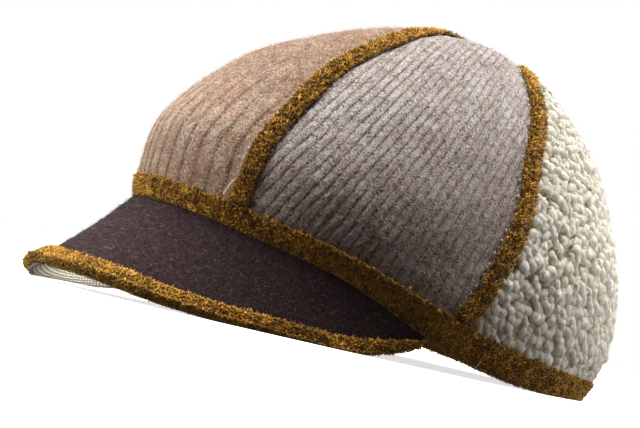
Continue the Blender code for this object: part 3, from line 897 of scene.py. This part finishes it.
def felt_material():
    """Pressed felt: matt, with paler fibres about 7 mm long, all ways, and painted shade, nearly black, in
    its hollows.
    """
    finish = {"Roughness": 0.95, "Specular IOR Level": 0.1, "Sheen Weight": 0.22}
    material, tree, shader, place = new_material("wool_felt", finish)
    streaks = []
    for turn, along, across in ((0.35, 0.14 / MM, 1.1 / MM), (-0.25, 0.17 / MM, 1.2 / MM)):
        stretch = (along, across, across)
        laid = add(tree, "Mapping", {"Vector": place, "Rotation": (0.0, 0.3, turn), "Scale": stretch})
        streak = add(tree, "TexNoise", {"Vector": laid, "Scale": 1.0, "Detail": 4.0, "Distortion": 1.4})
        streaks.append(streak)
    both = add(tree, "Math", streaks, operation="ADD")
    level = add(tree, "MapRange", [both, 0.72, 1.28])
    # The same streaks give tone and bump, so the low places are painted nearly black: painted shade in the
    # hollows
    browns = ((0.1, "120909"), (0.5, "281b1c"), (0.75, "3b2b2d"), (1.0, "5a484a"))
    tone = add(tree, "ValToRGB", [level], browns)
    bump = add(tree, "Bump", {"Height": level, "Strength": 0.6, "Distance": 0.5 * MM})
    connect(tree, shader, {"Base Color": tone, "Normal": bump, "Sheen Tint": linear("a88c8c")})
    return material


felt = felt_sheet()
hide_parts("peak_felt")
wear(felt, felt_material())

# Folded edge of the peak
# The same tape is folded round the peak's outer edge, over the felt and the lining, and sewn down under it.
# It carries the same pile as the other tapes.
FOLD_HALF_SPAN = 0.985
# Places round the fold in millimetres: in from the peak's edge, and down from its upper side
FOLD_OUTSIDE = (
    (0.6, -0.4, -0.9, -1.0, -0.95, -0.7, 0.3),
    (-2.0, -1.9, -1.1, 0.2, 1.2, 1.9, 2.25),
)
FOLD_INSIDE = (
    (0.6, -0.2, -0.5, -0.5, -0.45, -0.2, 0.3),
    (-1.6, -1.5, -1.0, 0.2, 1.1, 1.6, 1.9),
)


def folded_edge():
    """The folded tape as a closed piece of cloth."""
    along = np.linspace(-FOLD_HALF_SPAN, FOLD_HALF_SPAN, 190)
    coarse = np.append(along[::3][:-1], along[-1])
    grids = []
    for outline, steps, columns in ((FOLD_OUTSIDE, along, 22), (FOLD_INSIDE, coarse, 10)):
        places = np.transpose(outline)
        stations = np.linspace(0.0, 1.0, len(places))
        inward, down = curve_through(stations, places, np.linspace(0.0, 1.0, columns)).T * MM
        steps = steps[:, None]
        # The fold lies closer to the edge at the peak's two corners
        narrow = 0.25 + 0.75 * smooth_step(0.0, 0.12, 1.0 - np.abs(steps))
        grids.append(at_rest(peak_place(steps, inward * narrow, down)))
    # The fold's ground under its pile is painted dark: painted shade
    return cloth_shell("peak_fold", *grids, {"tone": np.full(grids[0].shape[:2], 0.28)})


fold = folded_edge()
body = bmesh.new()
body.from_mesh(fold.data)
fold_pile = pile_on("peak_fold_pile", body, 47)
body.free()
for piece in (fold, fold_pile):
    wear(piece, CHENILLE)

# Jersey lining
# Plain knitted cotton jersey under the peak, sewn in with the tape: rows of V-shaped stitches with gaps
# painted dark as shade, drawn a little coarser than life so that they show.
WALE_SPACING = 2.0 * MM
COURSE_SPACING = 1.7 * MM
LINING_TOP = 2.35 * MM
LINING_UNDERSIDE = 3.35 * MM
LINING_HALF_SPAN = 0.89
LINING_SHORT_OF_BAND = 5.0 * MM
LINING_BEYOND_LEFT = 0.4 * MM
LINING_BEYOND_RIGHT = 1.9 * MM


def jersey_sheet():
    """The lining's sheet, with its wales and courses counted over it."""
    middle = peak_place(PEAK_LINES[0], 10.0 * MM, 0.0)
    travel = np.concatenate(([0.0], np.cumsum(np.linalg.norm(np.diff(middle, axis=0), axis=1))))
    grids = []
    fields = {}
    for rows, columns, drop in ((121, 24, LINING_UNDERSIDE), (61, 12, LINING_TOP)):
        along = np.linspace(-LINING_HALF_SPAN, LINING_HALF_SPAN, rows)[:, None]
        beyond = np.where(along < 0.0, LINING_BEYOND_RIGHT, LINING_BEYOND_LEFT)
        beyond = beyond * smooth_step(0.0, 0.12, np.abs(along))
        inward = (peak_length(along) - LINING_SHORT_OF_BAND) * np.linspace(0.0, 1.0, columns)
        inward = inward - beyond * np.linspace(1.0, 0.0, columns) ** 4
        grids.append(at_rest(peak_place(along, inward, drop)))
        if drop == LINING_UNDERSIDE:
            wales = np.interp(along, PEAK_LINES[0], travel) / WALE_SPACING
            fields = {"turns": np.repeat(wales, columns, axis=1), "course": inward / COURSE_SPACING}
    return cloth_shell("lining", *grids, fields)


def jersey_material():
    """Undyed cotton yarn, matt and a little uneven, with each stitch a pair of leaning legs."""
    finish = {"Roughness": 0.9, "Specular IOR Level": 0.15}
    material, tree, shader, place = new_material("cotton_jersey", finish)
    twist = add(tree, "TexNoise", {"Vector": place, "Scale": 1.8 / MM, "Detail": 2.0})
    turns, course = ((add(tree, "Attribute", attribute_name=field), "Fac") for field in ("turns", "course"))
    across = add(tree, "Math", [turns, 0.5], operation="PINGPONG")
    leaning = add(tree, "Math", [across, 1.4, course], operation="MULTIPLY_ADD")
    leg = add(tree, "Math", [leaning, 0.5], operation="PINGPONG")
    between = add(tree, "MapRange", [across, 0.05, 0.16])
    raised = add(tree, "MapRange", [leg, 0.14, 0.28])
    yarn = add(tree, "Math", [between, raised], operation="MULTIPLY")
    uneven = add(tree, "Math", [twist, 0.4, yarn], operation="MULTIPLY_ADD")
    # The darkest stop is painted shade in the gaps between the stitches
    tone = add(tree, "ValToRGB", [uneven], ((0.15, "2e261c"), (0.5, "b5a687"), (0.95, "fbf4e2")))
    bump = add(tree, "Bump", {"Height": uneven, "Strength": 0.7, "Distance": 0.4 * MM})
    connect(tree, shader, {"Base Color": tone, "Normal": bump})
    return material


lining = jersey_sheet()
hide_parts("peak_lining")
wear(lining, jersey_material())

# Sewing thread
# White thread that shows in short stitches beside the tapes and under the peak's edge, with an end left
# hanging at the foot of the front seam and another over the rim.
STITCH_LENGTH = 1.14 * MM
THREAD_RADIUS = 0.17 * MM


def seam_stitches(name, side, seed):
    """Short stitches in the cloth along the front edge of a tape, some of them hidden in its pile."""
    rng = np.random.default_rng(seed)
    shares = np.linspace(1.3 * BAND_SHARE, 0.9, 90)
    shown = 0.55 + 0.4 * grain(np.outer(shares, (1.0, 0.0, 0.0)), 0.09, seed)
    shares = shares[rng.uniform(0.0, 1.0, len(shares)) < shown]
    angles = side * seam_angle(name, shares)
    edge = (0.5 * TAPE_WIDTH + rng.uniform(0.3, 0.9, len(shares)) * MM) / crown_around(angles, shares)
    angles = angles - side * edge
    normals = crown_normal(angles, shares)
    ahead = unit(crown_point(angles, shares + 0.004) - crown_point(angles, shares))
    lean = ahead + 0.5 * rng.normal(0.0, 1.0, ahead.shape)
    sunk = seam_sink(0.5 * TAPE_WIDTH, shares) - 0.55 * MM
    base = crown_point(angles, shares) - normals * sunk[:, None]
    t = np.array([-0.5, 0.0, 0.5])[None, :, None] * STITCH_LENGTH
    path = base[:, None, :] + lean[:, None, :] * t
    path[:, 1] += normals * 0.25 * MM
    return strands(f"stitches_{name}_{seed}", at_rest(path), np.full(path.shape[:2], THREAD_RADIUS), 5, {})


def peak_stitches(seed):
    """The same thread under the peak's edge, where the tape is sewn down."""
    rng = np.random.default_rng(seed)
    along = np.linspace(-0.9, 0.9, 170)
    shown = 0.5 + 0.5 * grain(np.outer(along, (1.0, 0.0, 0.0)), 0.15, seed)
    along = along[rng.uniform(0.0, 1.0, len(along)) < shown]
    steps = along[:, None] + np.array([-0.5, 0.0, 0.5]) * 0.008
    inward = -0.9 * MM + rng.uniform(-0.2, 0.2, steps.shape) * MM
    path = peak_place(steps, inward, np.array([2.3, 2.6, 2.3]) * MM)
    return strands("stitches_peak", at_rest(path), np.full(steps.shape, 0.8 * THREAD_RADIUS), 5, {})


def thread_end(name, places, radius):
    """A loose end through places given as degrees round, share of the height and lift off the cloth."""
    at = np.array(places)
    line = crown_point(at[:, 0], at[:, 1]) + crown_normal(at[:, 0], at[:, 1]) * at[:, 2:3] * MM
    line = curve_through(np.linspace(0.0, 1.0, len(line)), line, np.linspace(0.0, 1.0, 14))
    return strands(name, at_rest(line)[None], radius * np.linspace(1.0, 0.7, 14)[None, :], 7, {})


def thread_material():
    """White spun polyester thread, with a slight shine and a fine twist."""
    material, tree, shader, place = new_material("sewing_thread", {"Roughness": 0.6})
    twist = add(tree, "TexNoise", {"Vector": place, "Scale": 2.5 / MM, "Detail": 2.0})
    tone = add(tree, "ValToRGB", [twist], ((0.3, "cfc8ba"), (0.7, "fbf8f0")))
    connect(tree, shader, {"Base Color": tone})
    return material


# Degrees round, share of the height, and lift in millimetres, along each loose end
SEAM_FOOT_END = (
    (28.6, 0.135, 0.5),
    (28.0, 0.12, 0.9),
    (27.7, 0.108, 0.8),
    (27.3, 0.096, 1.2),
    (27.1, 0.086, 1.6),
)
BAND_END = ((96.0, 0.02, 3.0), (95.0, -0.02, 3.4), (92.0, -0.05, 4.4), (90.0, -0.04, 5.6))
THREAD = thread_material()
for piece in (
    seam_stitches("front", 1, 71),
    seam_stitches("side", 1, 72),
    seam_stitches("front", -1, 73),
    seam_stitches("side", -1, 74),
    peak_stitches(75),
    thread_end("thread_end_front", SEAM_FOOT_END, 0.42 * MM),
    thread_end("thread_end_band", BAND_END, 0.14 * MM),
):
    wear(piece, THREAD)

# Loose fibres
# Single wool fibres and small ends of yarn that stand off the cloth and give it its soft outline. Felting
# and wear have worked them loose, and each keeps its cloth's colour.
FIBRE_RADIUS = 0.05 * MM
FELT_FIBRE_LENGTH = 3.0 * MM
FELT_FIBRE_LIFT = 0.15


def loose_fibres(name, base, normals, length, lift, rng):
    """Thin bent fibres from points on the cloth; lift is how steeply they stand up, from 0 flat to 1."""
    count = len(base)
    flat = unit(np.cross(normals, rng.normal(0.0, 1.0, (count, 3))))
    stand = (lift * rng.uniform(0.2, 1.0, count))[:, None]
    away = unit(flat + normals * 2.0 * stand)
    curl = unit(rng.normal(0.0, 1.0, (count, 3)))
    reach = (length * rng.uniform(0.5, 1.3, count))[:, None]
    tip = base + away * reach + curl * reach * 0.3
    path = np.stack((base - normals * 0.1 * MM, base + away * reach * 0.55, tip), axis=1)
    radius = (FIBRE_RADIUS * rng.uniform(0.7, 1.3, count))[:, None] * np.array([1.0, 1.6, 1.0])
    tone = np.repeat(rng.uniform(0, 1, (count, 1)), 3, axis=1)
    return strands(name, path, radius, 3, {"tone": tone}, tip=0.0)


def fibre_material(name, dark, light):
    """Wool fibre, dull, each one of its own tone."""
    material, tree, shader, _ = new_material(name, {"Roughness": 0.8, "Specular IOR Level": 0.2})
    tone = (add(tree, "Attribute", attribute_name="tone"), "Fac")
    connect(tree, shader, {"Base Color": add(tree, "ValToRGB", [tone], ((0.0, dark), (1.0, light)))})
    return material


def panel_fibres(name, panel, count, seed, wool):
    rng = np.random.default_rng(seed)
    angles, shares = panel_scatter(panel, int(count * 2.2), rng)
    angles, shares = angles[:count], shares[:count]
    normals = crown_normal(angles, shares)
    base = crown_point(angles, shares) + normals * wool["above"]
    tips = at_rest(base + normals * MM)
    base = at_rest(base)
    return loose_fibres(name, base, unit(tips - base), wool["length"], wool["lift"], rng)


def felt_fibres(count, seed):
    rng = np.random.default_rng(seed)
    along = rng.uniform(-0.99, 0.99, count)
    inward = peak_length(along) * np.sqrt(rng.uniform(0.0, 1.0, count))
    over = at_rest(peak_place(along, inward, -MM))
    base = at_rest(peak_place(along, inward, 0.0))
    return loose_fibres("felt_fibres", base, unit(over - base), FELT_FIBRE_LENGTH, FELT_FIBRE_LIFT, rng)


TAN = {"length": 2.1 * MM, "lift": 0.55, "above": 0.2 * MM, "tones": ("c9a88f", "f7ead9")}
GREY = {"length": 1.7 * MM, "lift": 0.4, "above": 0.2 * MM, "tones": ("a89e96", "f4efe9")}
CREAM = {"length": 1.9 * MM, "lift": 0.45, "above": 0.9 * MM, "tones": ("e6dcc4", "fffaf0")}
for name, panel, count, seed, wool, slot in (
    ("tan_fibres", "front", 5200, 61, TAN, "felted_rib_tan"),
    ("grey_fibres_left", "side_left", 4200, 62, GREY, "felted_rib_grey"),
    ("grey_fibres_right", "side_right", 1600, 63, GREY, "felted_rib_grey"),
    ("cream_fibres_left", "rear_left", 6500, 64, CREAM, "boucle_cream"),
    ("cream_fibres_right", "rear_right", 3000, 65, CREAM, "boucle_cream"),
):
    piece = panel_fibres(name, panel, count, seed, wool)
    wear(piece, fibre_material("loose_" + name, *wool["tones"]))
on_felt = felt_fibres(3600, 66)
wear(on_felt, fibre_material("loose_felt_wool", "170d0e", "4e3d40"))

# Camera and light
# A rolled camera at the photo's angle to the cap, four broad lights from above, behind and the left, three
# small ones near the curls and the peak's left corner, and a lit pale table.
CAMERA_AZIMUTH_DEG = 60.95
CAMERA_RISE_DEG = -4.25
CAMERA_ROLL_DEG = 24.05
CAMERA_DISTANCE = 1100.0 * MM
AIM_RIGHT = -28.7 * MM
AIM_UP = 25.2 * MM
LENS_MM = 155.3


def aim_camera():
    """Lays the camera; gives the picture's right, its top and the way to the camera as columns."""
    azimuth, rise, roll = map(math.radians, (CAMERA_AZIMUTH_DEG, CAMERA_RISE_DEG, CAMERA_ROLL_DEG))
    near = Vector((math.sin(azimuth) * math.cos(rise), -math.cos(azimuth) * math.cos(rise), math.sin(rise)))
    right = Vector((math.cos(azimuth), math.sin(azimuth), 0.0))
    up = near.cross(right)
    rest = Euler([math.radians(a) for a in REST_TURN_DEG]).to_matrix()
    place = rest @ (near * CAMERA_DISTANCE) + REST_PLACE
    target = rest @ (right * AIM_RIGHT + up * AIM_UP) + REST_PLACE
    near = (place - target).normalized()
    right = (rest @ (up * math.cos(roll) - right * math.sin(roll))).cross(near).normalized()
    ways = Matrix((right, near.cross(right), near)).transposed()
    data = bpy.data.cameras.new("camera")
    data.lens = LENS_MM
    data.sensor_width = 36.0
    data.clip_start = 0.05
    data.clip_end = 50.0
    camera = new_object("camera", data)
    camera.matrix_world = Matrix.Translation(place) @ ways.to_4x4()
    bpy.context.scene.camera = camera
    return ways


PICTURE = aim_camera()


def in_picture(right, up, near):
    """A place in millimetres from the cap's own origin, as the picture shows it."""
    return PICTURE @ Vector((right, up, near)) * MM + REST_PLACE


def add_light(name, kind, direction, energy):
    """A light that shines from a direction."""
    data = bpy.data.lights.new(name, kind)
    data.energy = energy
    light = new_object(name, data)
    light.rotation_mode = "QUATERNION"
    light.rotation_quaternion = direction.to_track_quat("Z", "Y")
    return light


# Each broad light comes from this much to the right, up and near, over this angle in degrees
for name, right, up, near, angle, strength in (
    ("light_above", 0.18, 1.0, -0.15, 38.0, 6.3),
    ("light_back_left", -0.75, 0.35, -0.7, 50.0, 0.5),
    ("light_back_right", 0.75, 0.3, -0.75, 60.0, 1.7),
    ("light_left", -1.0, 0.42, 0.0, 30.0, 1.6),
):
    light = add_light(name, "SUN", PICTURE @ Vector((right, up, near)), strength)
    light.data.angle = math.radians(angle)
# Each small light is a square panel that the camera doesn't see, at a place and turned to another
for name, place, target, size, watts in (
    ("light_curls", in_picture(240.0, 10.0, 40.0), in_picture(80.0, 0.0, 20.0), 120.0 * MM, 0.175),
    ("light_peak_corner", in_picture(-220.0, 72.0, 70.0), in_picture(-112.0, 20.0, 25.0), 70.0 * MM, 0.075),
    ("light_under_peak", Vector((-0.035, -0.062, 0.01)), Vector((-0.06, -0.082, 0.002)), 20.0 * MM, 0.024),
):
    light = add_light(name, "AREA", place - target, watts)
    light.data.size = size
    light.location = place
    light.visible_camera = False

# The surround is white to the camera, and only a faint warm fill to the cap
world = bpy.data.worlds.new("studio")
world.use_nodes = True
bpy.context.scene.world = world
tree = world.node_tree
seen = (add(tree, "LightPath"), "Is Camera Ray")
level = add(tree, "MapRange", {"Value": seen, "To Min": 0.085, "To Max": 1.0})
hue = add(tree, "Mix", {0: seen, 6: linear("ffeee2"), 7: linear("ffffff")}, data_type="RGBA")
connect(tree, tree.nodes["Background"], {"Color": (hue, 2), "Strength": level})
bpy.context.scene.view_settings.view_transform = "Standard"

# The table is a round sheet of matt paper, twelve metres across, that glows enough to look white
floor_mesh = bmesh.new()
bmesh.ops.create_circle(floor_mesh, cap_ends=True, segments=96, radius=6.0)
floor_data = bpy.data.meshes.new("floor")
floor_mesh.to_mesh(floor_data)
floor_mesh.free()
floor = new_object("floor", floor_data)
paper = {"Base Color": linear("f8f8f6"), "Roughness": 1.0, "Specular IOR Level": 0.0}
paper |= {"Emission Color": linear("ffffff"), "Emission Strength": 0.7}
floor_data.materials.append(new_material("matt_white_paper", paper)[0])
floor.visible_diffuse = False
